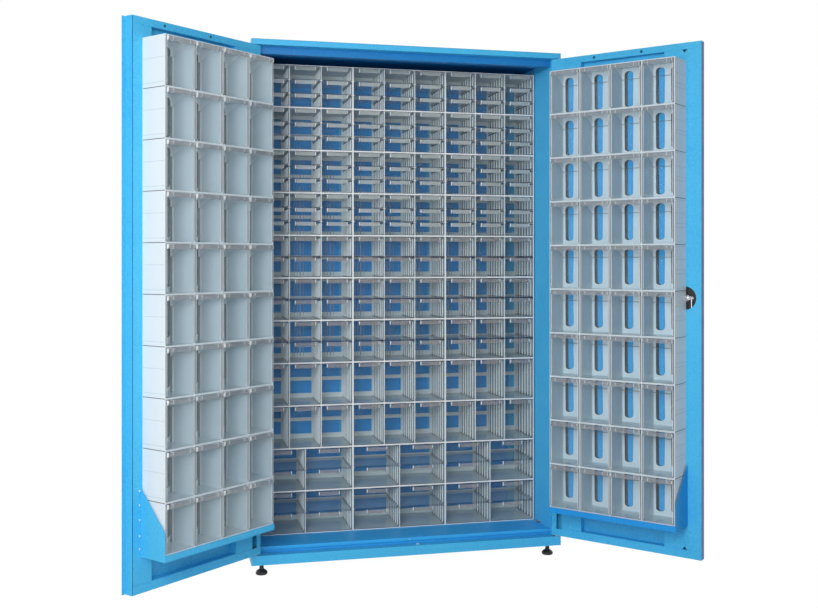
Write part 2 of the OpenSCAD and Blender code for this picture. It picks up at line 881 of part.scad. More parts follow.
module lock_dish() {
    color(black) at_lock() difference() {
        union() {
            translate([0, 0, -dish_t]) cylinder(r = dish_rim_r, h = dish_t - seat / 2);
            translate([0, 0, -dish_t]) cylinder(r = dish_r, h = dish_d + dish_t);
        }
        translate([0, 0, -dish_t - over]) cylinder(r = dish_r - dish_t, h = dish_d + over);
        cylinder(r = spindle_r + fit, h = dish_d + over);
    }
}

module lock_handle() {
    color(black) at_lock() union() {
        translate([-bar_w / 2, -bar_l / 2, dish_d - dish_t - seat - bar_h])
            cube([bar_w, bar_l, bar_h]);
        cylinder(r = spindle_r, h = dish_d + seat);
    }
}

module lock_crank() {
    ear_r = rod_r + ear_wall;
    color(zinc) at_lock() translate([0, 0, dish_d + seat]) difference() {
        union() {
            cylinder(r = crank_hub_r, h = crank_t);
            for (side = [-1, 1]) translate([side * crank_r, 0, 0]) cylinder(r = ear_r, h = crank_t);
            translate([-crank_r, -ear_r, 0]) cube([2 * crank_r, 2 * ear_r, crank_t]);
            cylinder(r = nut_r, h = crank_t + nut_h);
        }
        for (side = [-1, 1]) translate([side * crank_r, 0, -over])
            cylinder(r = rod_r + fit, h = crank_t + 2 * over);
    }
}

// A rod with its end bent through the crank: side is -1 for the upper rod and 1 for the lower one
module lock_rod(side) {
    length = side < 0 ? door_top - sheet - lock_z : lock_z - door_z - sheet;
    color(zinc) place_right() translate([lock_a + side * crank_r, rod_into, lock_z]) union() {
        mirror([0, 0, side < 0 ? 0 : 1]) cylinder(r = rod_r, h = length);
        rotate([90, 0, 0]) cylinder(r = rod_r, h = rod_into - dish_d - seat - eps);
        sphere(r = rod_r);
    }
}

// A guide for a rod, welded inside the door: side is -1 for the upper rod, 1 for the lower one
module rod_guide(side) {
    reach = rod_r + rod_gap + guide_wall;
    z = side < 0 ? door_top - guide_end - guide_h / 2 : door_z + guide_end - guide_h / 2;
    a = lock_a + side * crank_r;
    difference() {
        block(
            [a - reach - (side < 0 ? rod_swing : 0), rod_into - reach, z],
            [a + reach + (side < 0 ? 0 : rod_swing), door_t - sheet / 2, z + guide_h]
        );
        door_rod_slot(side, z - over, z + guide_h + over);
    }
}

base_frame();
floor_panel();
side_panel(-1);  // side_panel_left
side_panel(1);  // side_panel_right
back_panel();
ceiling_panel();
top_cap();
hook_rails();
hinge_pins();
foot_at(0);  // foot_front_left
foot_at(1);  // foot_front_right
foot_at(2);  // foot_rear_left
foot_at(3);  // foot_rear_right
frames_of(3, 3);  // frames_small
frames_of(3, 2);  // frames_medium
frames_of(3, 1);  // frames_tall
frames_of(2, 2);  // frames_wide
drawers_of(3, 3);  // drawers_small
drawers_of(3, 2);  // drawers_medium
drawers_of(3, 1);  // drawers_tall
drawers_of(2, 2);  // drawers_wide
drawer_at(SMALL_UPPER);  // drawer_small_upper
drawer_at(SMALL_LOWER);  // drawer_small_lower
drawer_at(MEDIUM);  // drawer_medium
drawer_at(TALL);  // drawer_tall
drawer_at(WIDE_UPPER);  // drawer_wide_upper
drawer_at(WIDE_LOWER);  // drawer_wide_lower
door_left();
place_left() tray();  // tray_left
place_left() bin_frames(CLOSED_ROWS);  // bin_frames_left
place_left() bin_frames(OPEN_ROWS);  // bin_frames_left_open
for (n = [1 : bin_rows])
    place_left() bin_row(n);
door_right();
place_right() tray();  // tray_right
place_right() bin_frames(CLOSED_ROWS);  // bin_frames_right
place_right() bin_frames(OPEN_ROWS);  // bin_frames_right_open
for (n = [1 : bin_rows])
    place_right() bin_row(n);
lock_dish();
lock_handle();
lock_crank();
lock_rod(-1);  // lock_rod_upper
lock_rod(1);  // lock_rod_lower
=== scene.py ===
"""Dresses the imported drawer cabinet: enamelled case and doors, moulded frames, clear drawers and bins.

Everything is in metres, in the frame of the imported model. X runs to the right, Y into the cabinet
and Z up. The sizes below repeat the part's named sizes.
"""

import logging
import math
from collections.abc import Iterator
from dataclasses import dataclass, field
from enum import Enum
from itertools import product

import bmesh
import bpy
from mathutils import Matrix, Vector


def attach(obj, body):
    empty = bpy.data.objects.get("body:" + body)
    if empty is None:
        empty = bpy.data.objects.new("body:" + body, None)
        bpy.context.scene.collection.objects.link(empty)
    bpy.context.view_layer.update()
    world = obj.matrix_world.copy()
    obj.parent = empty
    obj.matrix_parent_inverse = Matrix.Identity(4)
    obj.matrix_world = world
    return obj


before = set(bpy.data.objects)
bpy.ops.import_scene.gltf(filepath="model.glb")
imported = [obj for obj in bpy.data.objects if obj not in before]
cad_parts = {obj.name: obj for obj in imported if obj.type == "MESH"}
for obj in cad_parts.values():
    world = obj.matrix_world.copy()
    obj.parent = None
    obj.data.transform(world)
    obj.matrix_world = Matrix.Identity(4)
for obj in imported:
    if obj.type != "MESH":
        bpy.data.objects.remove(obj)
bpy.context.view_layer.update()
LOG = logging.getLogger("drawer_cabinet")

Socket = bpy.types.NodeSocket
Point = tuple[float, float, float]
Outline = list[tuple[float, float]]
Rgb = tuple[int, int, int]
Rgba = tuple[float, float, float, float]
Looks = dict[str, bpy.types.Material]

# The step by which thin trim stands off the face that it lies on, and sinks into its sides.
HAIR = 0.0001
# How many flat sides the two round ends of a slot have together.
SLOT_SIDES = 14


class Side(Enum):
    """The two doors."""

    LEFT = "left"
    RIGHT = "right"


def linear(colour: Rgb) -> Rgba:
    """Turns a colour of 0 to 255 a channel into the linear values that the shaders take.

    Args:
        colour: red, green and blue, 0 to 255.

    Returns:
        The linear colour with an alpha of 1.
    """
    shares = [part / 255 for part in colour]
    red, green, blue = (
        share / 12.92 if share <= 0.04045 else ((share + 0.055) / 1.055) ** 2.4 for share in shares
    )
    return (red, green, blue, 1.0)


def calculated(
    tree: bpy.types.NodeTree, operation: str, first: Socket, second: Socket | float
) -> Socket:
    """Adds a sum on two values.

    Args:
        tree: the node tree to add to.
        operation: the math node's operation.
        first: the socket with the first value.
        second: the socket with the second value, or a number.

    Returns:
        The socket with the result.
    """
    node = tree.nodes.new("ShaderNodeMath")
    node.operation = operation
    tree.links.new(first, node.inputs[0])
    if isinstance(second, Socket):
        tree.links.new(second, node.inputs[1])
    else:
        node.inputs[1].default_value = second
    return node.outputs["Value"]


def mix_shaders(
    tree: bpy.types.NodeTree,
    factor: Socket,
    first: Socket,
    second: Socket,
    output: bpy.types.Node,
) -> None:
    """Mixes two shaders into an output.

    Args:
        tree: the node tree to add to.
        factor: the socket that picks between them.
        first: the shader at 0.
        second: the shader at 1.
        output: the output node.
    """
    node = tree.nodes.new("ShaderNodeMixShader")
    tree.links.new(factor, node.inputs["Fac"])
    tree.links.new(first, node.inputs[1])
    tree.links.new(second, node.inputs[2])
    tree.links.new(node.outputs["Shader"], output.inputs["Surface"])


class Shader:
    """Builds the nodes of one material."""

    def __init__(self, name: str) -> None:
        """Starts a material with one Principled shader on its output.

        Args:
            name: the material's name.
        """
        self.material = bpy.data.materials.new(name)
        self.material.use_nodes = True
        self.tree = self.material.node_tree
        self.tree.nodes.clear()
        self.output = self.tree.nodes.new("ShaderNodeOutputMaterial")
        self.surface = self.tree.nodes.new("ShaderNodeBsdfPrincipled")
        self.place = self.tree.nodes.new("ShaderNodeTexCoord").outputs["Object"]
        self.link(self.surface.outputs["BSDF"], self.output.inputs["Surface"])

    def link(self, start: Socket, end: Socket) -> None:
        """Joins two sockets."""
        self.tree.links.new(start, end)

    def put(self, **values: float) -> None:
        """Sets the Principled shader's own sockets, named with underscores for spaces."""
        for key, value in values.items():
            self.surface.inputs[key.replace("_", " ")].default_value = value

    def noise(self, scale: float, detail: float, stretch: Point | None = None) -> Socket:
        """Adds a noise pattern on the object coordinates.

        Args:
            scale: how many lumps there are in a metre.
            detail: how many finer layers are added.
            stretch: an optional scale along X, Y and Z.

        Returns:
            The socket with the noise, 0 to 1.
        """
        place = self.place
        if stretch:
            mapping = self.tree.nodes.new("ShaderNodeMapping")
            mapping.inputs["Scale"].default_value = stretch
            self.link(place, mapping.inputs["Vector"])
            place = mapping.outputs["Vector"]
        node = self.tree.nodes.new("ShaderNodeTexNoise")
        node.inputs["Scale"].default_value = scale
        node.inputs["Detail"].default_value = detail
        self.link(place, node.inputs["Vector"])
        return node.outputs["Fac"]

    def ranged(
        self, value: Socket, low: float, high: float, start: float = 0.3, end: float = 0.7
    ) -> Socket:
        """Maps a value from start..end to low..high.

        Args:
            value: the socket to map.
            low: the result at start.
            high: the result at end.
            start: where the mapping starts.
            end: where the mapping ends.

        Returns:
            The socket with the mapped value.
        """
        node = self.tree.nodes.new("ShaderNodeMapRange")
        for name, number in zip(("From Min", "From Max", "To Min", "To Max"), (start, end, low, high)):
            node.inputs[name].default_value = number
        self.link(value, node.inputs["Value"])
        return node.outputs["Result"]

    def paint(self, factor: Socket, first: Rgba, second: Rgba) -> None:
        """Colours the surface between two linear colours.

        Args:
            factor: the socket that picks between them.
            first: the colour at 0.
            second: the colour at 1.
        """
        node = self.tree.nodes.new("ShaderNodeMix")
        node.data_type = "RGBA"
        self.link(factor, next(s for s in node.inputs if s.name == "Factor" and s.type == "VALUE"))
        for socket, colour in zip([s for s in node.inputs if s.type == "RGBA"], (first, second)):
            socket.default_value = colour
        self.link(next(s for s in node.outputs if s.type == "RGBA"), self.surface.inputs["Base Color"])

    def roughen(self, scale: float, low: float, high: float, stretch: Point | None = None) -> None:
        """Varies the roughness by a noise pattern.

        Args:
            scale: how many lumps there are in a metre.
            low: the least roughness.
            high: the most.
            stretch: an optional scale along X, Y and Z.
        """
        self.link(self.ranged(self.noise(scale, 3, stretch), low, high), self.surface.inputs["Roughness"])

    def bump(self, scale: float, detail: float, strength: float, distance: float) -> None:
        """Adds surface relief from a noise pattern.

        Args:
            scale: how many lumps there are in a metre.
            detail: how many finer layers are added.
            strength: how strong the relief is, 0 to 1.
            distance: its depth in metres.
        """
        node = self.tree.nodes.new("ShaderNodeBump")
        node.inputs["Strength"].default_value = strength
        node.inputs["Distance"].default_value = distance
        self.link(self.noise(scale, detail), node.inputs["Height"])
        self.link(node.outputs["Normal"], self.surface.inputs["Normal"])


@dataclass(frozen=True)
class Enamel:
    """Sky-blue powder coat on the folded steel, with its fine orange-peel skin."""

    name: str = "blue_enamel"
    light: Rgb = (80, 190, 235)
    deep: Rgb = (50, 170, 229)
    clouds: float = 2.6
    grain: float = 170.0
    peel: float = 520.0

    def make(self) -> bpy.types.Material:
        """Makes the material."""
        shader = Shader(self.name)
        clouds = shader.ranged(shader.noise(self.clouds, 3), 0.35, 1)
        grain = shader.ranged(shader.noise(self.grain, 2), 0, 1, 0.35, 0.65)
        speckle = calculated(shader.tree, "MULTIPLY", clouds, grain)
        shader.paint(speckle, linear(self.light), linear(self.deep))
        shader.roughen(60, 0.36, 0.48)
        shader.bump(self.peel, 2, strength=0.2, distance=0.0006)
        shader.put(Specular_IOR_Level=0.28)
        return shader.material


@dataclass(frozen=True)
class FramePlastic:
    """Opaque moulded polystyrene of the drawer modules and bin frames; the same make also gives the flat
    colours of painted shade, painted shadows and painted highlights on thin trim.
    """

    name: str
    pale: Rgb
    dull: Rgb

    def make(self) -> bpy.types.Material:
        """Makes the material."""
        shader = Shader(self.name)
        flow = shader.ranged(shader.noise(5, 4, (1.0, 1.0, 0.35)), 0, 1)
        shader.paint(flow, linear(self.pale), linear(self.dull))
        shader.roughen(35, 0.3, 0.42)
        shader.bump(160, 1, strength=0.03, distance=0.0003)
        return shader.material


@dataclass(frozen=True)
class ClearPlastic:
    """Clear styrene: see-through face-on, denser along the walls, with faint flow streaks. Its near-opaque
    white copies are painted highlights and painted reflections.
    """

    name: str = "clear_plastic"
    tint: Rgb = (222, 233, 238)
    face_on: float = 0.018
    grazing: float = 0.42
    rough: float = 0.05
    gloss: float = 0.2
    streak: Rgb = (16, 13, 11)
    through: Rgba = (0.978105, 0.993, 0.997965, 1.0)

    def make(self) -> bpy.types.Material:
        """Makes the material."""
        shader = Shader(self.name)
        flow = shader.ranged(shader.noise(9, 4, (1.0, 1.0, 0.3)), 0, 1)
        red, green, blue = (part - less for part, less in zip(self.tint, self.streak))
        shader.paint(flow, linear(self.tint), linear((red, green, blue)))
        shader.roughen(50, 0.6 * self.rough, 1.6 * self.rough)
        shader.bump(120, 2, strength=0.08, distance=0.0008)
        shader.put(IOR=1.59, Metallic=self.gloss)
        rim = shader.tree.nodes.new("ShaderNodeLayerWeight")
        rim.inputs["Blend"].default_value = 0.28
        amount = shader.ranged(rim.outputs["Facing"], self.face_on, self.grazing, 0.02, 0.9)
        clear = shader.tree.nodes.new("ShaderNodeBsdfTransparent")
        clear.inputs["Color"].default_value = self.through
        mix_shaders(
            shader.tree, amount, clear.outputs["BSDF"], shader.surface.outputs["BSDF"], shader.output
        )
        return shader.material


@dataclass(frozen=True)
class BareMetal:
    """Plated or bare metal with fine rubbing marks."""

    name: str
    bright: Rgb
    dull: Rgb
    rough: float

    def make(self) -> bpy.types.Material:
        """Makes the material."""
        shader = Shader(self.name)
        marks = shader.ranged(shader.noise(140, 4), 0, 1)
        shader.paint(marks, linear(self.bright), linear(self.dull))
        shader.roughen(90, self.rough - 0.08, self.rough + 0.1, (1.0, 1.0, 6.0))
        shader.bump(600, 2, strength=0.08, distance=0.0003)
        shader.put(Metallic=1.0)
        return shader.material


@dataclass(frozen=True)
class DarkMoulding:
    """Black moulded plastic or rubber with a light scuff."""

    name: str
    rough: float
    black: Rgb = (15, 15, 17)
    worn: Rgb = (33, 34, 37)

    def make(self) -> bpy.types.Material:
        """Makes the material."""
        shader = Shader(self.name)
        scuffs = shader.ranged(shader.noise(90, 5), 0, 1, 0.45, 0.75)
        shader.paint(scuffs, linear(self.black), linear(self.worn))
        shader.link(
            shader.ranged(scuffs, self.rough, self.rough + 0.15, 0.0, 1.0), shader.surface.inputs["Roughness"]
        )
        shader.bump(700, 2, strength=0.12, distance=0.0003)
        return shader.material


FINISHES = (
    Enamel(),
    # Painted shade: a deeper copy of the enamel on the right door's tray, which lies in shade behind the
    # bins.
    Enamel("tray_shade_enamel", (34, 154, 230), (26, 142, 221)),
    # Painted shade: a darker copy of the enamel on the ceiling panel's rail, for the cap's shadow.
    Enamel("rail_shade_enamel", (24, 124, 190), (18, 112, 178)),
    # Painted shade: a deeper, more saturated copy of the enamel on the floor panel, which lies in shade.
    Enamel("floor_shade_enamel", (58, 176, 240), (46, 164, 233)),
    # Painted shade: a deeper copy of the enamel on the back's inner face.
    Enamel("back_shade_enamel", (36, 170, 248), (26, 158, 240)),
    # Painted light: a lighter copy of the enamel on the right wall's inner face.
    Enamel("wall_light_enamel", (84, 204, 255), (66, 190, 250)),
    # Painted shade: a deeper copy of the enamel on the door's skin behind the slots.
    Enamel("slot_shade_enamel", (30, 174, 240), (24, 162, 232)),
    FramePlastic("white_frame", (240, 243, 243), (233, 237, 238)),
    FramePlastic("grey_frame", (226, 235, 240), (218, 228, 234)),
    # Painted shade and painted shadows for thin trim: the slots' hinge sides, the grooves, the drawers'
    # levels and joints, the channels, the runners, the frames' joints, the door's seam and the right door's
    # end. post_line is a bright white used as a painted highlight on drawer ribs and bin corners, and also
    # for the tray tabs.
    FramePlastic("slot_shade", (6, 20, 44), (4, 14, 34)),
    FramePlastic("groove_shade", (200, 209, 215), (188, 198, 206)),
    FramePlastic("level_shade", (30, 44, 72), (24, 36, 62)),
    FramePlastic("channel_shade", (92, 104, 113), (80, 92, 102)),
    FramePlastic("runner_shade", (74, 92, 104), (60, 78, 92)),
    FramePlastic("frame_joint", (96, 92, 90), (82, 78, 78)),
    FramePlastic("fold_shade", (18, 96, 156), (12, 84, 142)),
    FramePlastic("end_shade", (10, 98, 172), (6, 86, 160)),
    FramePlastic("post_line", (250, 252, 252), (244, 248, 250)),
    ClearPlastic(),
    # Painted highlight: a near-opaque white copy for the grip lugs and stub axles.
    ClearPlastic("clear_edge_highlight", (246, 249, 250), 0.85, 0.95, 0.12, 0.0),
    ClearPlastic("clear_bar", (206, 210, 206), 0.42, 0.65, 0.16, 0.0),
    ClearPlastic("clear_grip", (172, 172, 175), 0.34, 0.55, 0.1),
    ClearPlastic("clear_label", (168, 162, 162), 0.4, 0.6, 0.12, 0.0),
    # Painted highlight: a near-opaque white copy for the bins' posts.
    ClearPlastic("clear_rib_highlight", (246, 250, 251), 0.8, 0.95, 0.1, 0.0),
    # Painted reflections: a pale streaked copy for the bright streaks on the drawers' rear walls.
    ClearPlastic("clear_reflection_streaks", (226, 236, 244), 0.5, 0.7, 0.12, 0.0),
    BareMetal("zinc", (206, 208, 212), (168, 171, 178), 0.32),
    BareMetal("brass", (196, 156, 92), (158, 118, 64), 0.36),
    DarkMoulding("black_foot", 0.55),
    DarkMoulding("black_handle", 0.5),
)
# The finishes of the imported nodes, by their names and otherwise by the names' starts.
NODE_LOOKS = {
    "hinge_pins": "brass",
    "lock_crank": "zinc",
    "lock_rod_upper": "zinc",
    "lock_rod_lower": "zinc",
    "lock_dish": "black_handle",
    "lock_handle": "black_handle",
    # Painted shade: the tray takes a deeper copy of the enamel.
    "tray_right": "tray_shade_enamel",
    # Painted shade: the rail takes a darker enamel for the cap's shadow.
    "ceiling_panel": "rail_shade_enamel",
    # Painted shade: the floor panel takes a deeper copy of the enamel.
    "floor_panel": "floor_shade_enamel",
}
LOOKS_BY_START = {
    "foot_": "black_foot",
    "frames_": "white_frame",
    "bin_frames_": "grey_frame",
    "drawers_": "clear_plastic",
    "drawer_": "clear_plastic",
    "bins_": "clear_plastic",
    "": "blue_enamel",
}


def dress_nodes(looks: Looks) -> None:
    """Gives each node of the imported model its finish.

    Args:
        looks: the finishes' materials, by name.
    """
    for name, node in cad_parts.items():
        look = NODE_LOOKS.get(name) or next(
            look for start, look in LOOKS_BY_START.items() if name.startswith(start)
        )
        if not node.material_slots:
            node.data.materials.append(looks[look])
        for entry in node.material_slots:
            entry.material = looks[look]
    LOG.info("dressed %d packed nodes", len(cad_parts))


class Kind(Enum):
    """The four kinds of drawer: columns and levels in a module."""

    SMALL = (3, 3)
    MEDIUM = (3, 2)
    TALL = (3, 1)
    WIDE = (2, 2)


@dataclass(frozen=True)
class Sizes:
    """The part's named sizes in metres, and the places that follow from them."""

    modules_across: int = 3
    module_w: float = 0.382
    module_h: float = 0.1678
    module_d: float = 0.220
    wall: float = 0.0026
    rear_wall: float = 0.002
    seat: float = 0.0003
    ledge_t: float = 0.0016
    drawer_wall: float = 0.0016
    drawer_side: float = 0.0007
    drawer_over: float = 0.0012
    drawer_behind: float = 0.004
    grip_w: float = 0.082
    grip_h: float = 0.015
    grip_d: float = 0.009
    grip_drop: float = 0.001
    module_y: float = 0.207
    modules_z: float = 0.0983
    case_front: float = 0.033
    bin_frame_d: float = 0.110
    bin_grip_side: float = 0.0035
    bin_d: float = 0.105
    bin_rear_h: float = 0.11972
    bin_rows: int = 10
    bin_cols: int = 4
    slot_w: float = 0.029
    slot_foot: float = 0.016
    slot_head: float = 0.013
    slot_off: float = 0.030
    stack_edge: float = 0.041
    stack_w: float = 0.502
    stack_z: float = 0.2253
    door_t: float = 0.030
    door_z: float = 0.086
    door_top: float = 1.974
    right_w: float = 0.6
    back_y: float = 0.4365
    wall_x: float = 0.579
    floor_z: float = 0.098
    pivot_x: float = 0.594
    pivot_y: float = 0.012
    left_angle: float = 139.26
    right_angle: float = 130.64

    @property
    def row_pitch(self) -> float:
        """The height from one row to the next."""
        return self.module_h + self.seat

    @property
    def cell_h(self) -> float:
        """The height inside a module."""
        return self.module_h - 2 * self.wall

    @property
    def bin_cell_w(self) -> float:
        """The width of a bin's cell."""
        return (self.stack_w - (self.bin_cols + 1) * self.wall) / self.bin_cols

    @property
    def stack_front(self) -> float:
        """The distance from a door's outer face to the bins' fronts."""
        return self.door_t + self.seat + self.bin_frame_d

    @property
    def bin_h(self) -> float:
        """The height of a bin."""
        return self.cell_h - self.seat - self.drawer_over

    def cell_w(self, kind: Kind) -> float:
        """Gives the width of one column of a module."""
        columns = kind.value[0]
        return (self.module_w - (columns + 1) * self.wall) / columns

    def cell_left(self, kind: Kind, module: int, column: int) -> float:
        """Gives the left side of a module's column, both counted from the left."""
        pitch = self.module_w + self.seat
        left = -self.modules_across / 2 * pitch + self.seat / 2 + module * pitch
        return left + self.wall + column * (self.cell_w(kind) + self.wall)

    def row_bottom(self, row: int) -> float:
        """Gives the bottom of a row of modules, counted from the top."""
        return self.modules_z + (len(ROWS) - 1 - row) * self.row_pitch

    def bin_left(self, column: int) -> float:
        """Gives the left side of a bin's cell, counted from the hinge."""
        return self.stack_edge + self.wall + column * (self.bin_cell_w + self.wall)

    def slots(self) -> Iterator[Point]:
        """Gives the middle, the foot and the head of each slot in a door's frames."""
        for row in range(self.bin_rows):
            bottom = self.stack_z + row * self.row_pitch
            low, high = bottom + self.wall + self.slot_foot, bottom + self.module_h - self.slot_head
            for column in range(self.bin_cols):
                middle = self.bin_left(column) + self.bin_cell_w / 2
                for off in (-self.slot_off, self.slot_off):
                    yield middle + off, low, high

    def grip_side(self, y: float, out: int, top: float) -> Outline:
        """Gives the outline of a grip's lug in Y and Z.

        Args:
            y: the front that the grip stands on.
            out: the way out along Y, -1 or 1.
            top: the grip's top.

        Returns:
            The outline's corners.
        """
        lap = 3 * HAIR
        tip, foot = y + out * (self.grip_d + lap), top - self.grip_h - lap
        slope = (tip, top - 0.7 * self.grip_h), (y + out * 0.5 * self.grip_d, foot)
        return [(y, top + lap), (tip, top + lap), *slope, (y, foot)]

    def door_matrix(self, side: Side) -> Matrix:
        """Gives the turn from a door's own frame to the cabinet's.

        Args:
            side: the door.

        Returns:
            The matrix that takes along, into and up to X, Y and Z.
        """
        left = side is Side.LEFT
        angle = math.radians(self.left_angle if left else self.right_angle)
        c, s = math.cos(angle), math.sin(angle)
        sign = 1 if left else -1
        return Matrix(
            (
                (sign * c, sign * s, 0.0, -sign * (self.pivot_x + self.pivot_y * s)),
                (-s, c, 0.0, self.pivot_y * (1 - c)),
                (0.0, 0.0, 1.0, 0.0),
                (0.0, 0.0, 0.0, 1.0),
            )
        )


SIZES = Sizes()
ROWS = (Kind.SMALL,) * 4 + (Kind.MEDIUM,) * 3 + (Kind.TALL,) * 2 + (Kind.WIDE,) * 2
# The drawers with a joint of their own, by row, module, column and level.
LOOSE = {
    (2, 1, 1, 2): "drawer_small_upper",
    (2, 1, 1, 0): "drawer_small_lower",
    (5, 2, 0, 1): "drawer_medium",
    (8, 1, 1, 0): "drawer_tall",
    (9, 1, 0, 1): "drawer_wide_upper",
    (10, 2, 0, 0): "drawer_wide_lower",
}


@dataclass
class Piece:
    """One new piece: a mesh gathered from small solids, its finish and the body that it rides on.

    Its mesh is in a frame of its own, and place is the turn from there to the cabinet's.
    """

    name: str
    body: str
    slot: str
    material: bpy.types.Material
    place: Matrix = field(default_factory=Matrix)
    mesh: bmesh.types.BMesh = field(init=False, default_factory=bmesh.new)

    def box(self, low: Point, high: Point) -> None:
        """Adds a box.

        Args:
            low: its low corner.
            high: its high corner.
        """
        a, b = Vector(low), Vector(high)
        shape = Matrix.Diagonal((*(b - a), 1.0))
        bmesh.ops.create_cube(self.mesh, size=1.0, matrix=Matrix.Translation((a + b) / 2) @ shape)

    def thicken(self, faces: list[bmesh.types.BMFace], way: Point) -> None:
        """Gives flat faces a thickness.

        Args:
            faces: the faces.
            way: how far their copy is moved along X, Y and Z.
        """
        grown = bmesh.ops.extrude_face_region(self.mesh, geom=faces, use_keep_orig=True)
        moved = [item for item in grown["geom"] if isinstance(item, bmesh.types.BMVert)]
        bmesh.ops.translate(self.mesh, vec=way, verts=moved)
        shell = {near for vert in moved for near in vert.link_faces} | set(faces)
        bmesh.ops.recalc_face_normals(self.mesh, faces=list(shell))

    def bar(self, outline: Outline, x0: float, x1: float) -> None:
        """Adds a bar along X with an outline in Y and Z.

        Args:
            outline: the outline's corners, each with its Y and Z.
            x0: where the bar starts.
            x1: where it ends.
        """
        ring = [self.mesh.verts.new((x0, y, z)) for y, z in outline]
        self.thicken([self.mesh.faces.new(ring)], (x1 - x0, 0.0, 0.0))

    def cone(
        self, start: Point, way: Vector, radii: tuple[float, float], sides: int
    ) -> list[bmesh.types.BMVert]:
        """Adds a round bar or cone.

        Args:
            start: the middle of its start.
            way: the way from there to the middle of its end.
            radii: its radius at the start and at the end.
            sides: how many flat sides it has.

        Returns:
            Its vertices.
        """
        turn = way.to_track_quat("Z", "Y").to_matrix().to_4x4()
        return bmesh.ops.create_cone(
            self.mesh,
            cap_ends=True,
            segments=sides,
            radius1=radii[0],
            radius2=radii[1],
            depth=way.length,
            matrix=Matrix.Translation(Vector(start) + way / 2) @ turn,
        )["verts"]

    def screw(self, middle: Point, out: Point, radius: float) -> None:
        """Adds a low screw head with a sunk recess.

        Args:
            middle: where the head meets the sheet.
            out: the direction that it faces.
            radius: its radius.
        """
        axis = Vector(out).normalized()
        verts = self.cone(middle, axis * (0.45 * radius), (radius, 0.72 * radius), 14)
        faces = {face for vert in verts for face in vert.link_faces}
        top = max(faces, key=lambda face: face.calc_center_median().dot(axis))
        bmesh.ops.inset_individual(self.mesh, faces=[top], thickness=0.3 * radius, depth=-0.3 * radius)

    def slot_ring(
        self, centre: Point | Vector, radius: float, straight: float, left: float, right: float = 0.0
    ) -> list[bmesh.types.BMEdge]:
        """Adds the closed line of an upright slot, across Y.

        Args:
            centre: its middle.
            radius: the radius of its round ends.
            straight: half the length of its straight sides.
            left: how far its low-X half is moved along X.
            right: how far its high-X half is moved along X.

        Returns:
            The line's edges.
        """
        tilt = Matrix.Rotation(math.radians(90), 4, "X")
        turn = tilt @ Matrix.Rotation(math.radians(180 / SLOT_SIDES), 4, "Z")
        verts = bmesh.ops.create_circle(
            self.mesh, segments=SLOT_SIDES, radius=radius, matrix=Matrix.Translation(centre) @ turn
        )["verts"]
        for vert in verts:
            vert.co.z += math.copysign(straight, vert.co.z - centre[2])
            vert.co.x += left if vert.co.x < centre[0] else right
        return list({edge for vert in verts for edge in vert.link_edges})

    def finish(self) -> None:
        """Places the piece, gives it its finish and lets it ride."""
        bmesh.ops.transform(self.mesh, matrix=self.place, verts=self.mesh.verts)
        if self.place.determinant() < 0:
            bmesh.ops.reverse_faces(self.mesh, faces=self.mesh.faces)
        data = bpy.data.meshes.new(self.name)
        self.mesh.to_mesh(data)
        self.mesh.free()
        data.materials.append(self.material)
        piece = bpy.data.objects.new(self.name, data)
        bpy.context.scene.collection.objects.link(piece)
        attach(piece, self.body)
        LOG.info("%s rides on %s with %d faces", self.name, self.body, len(data.polygons))


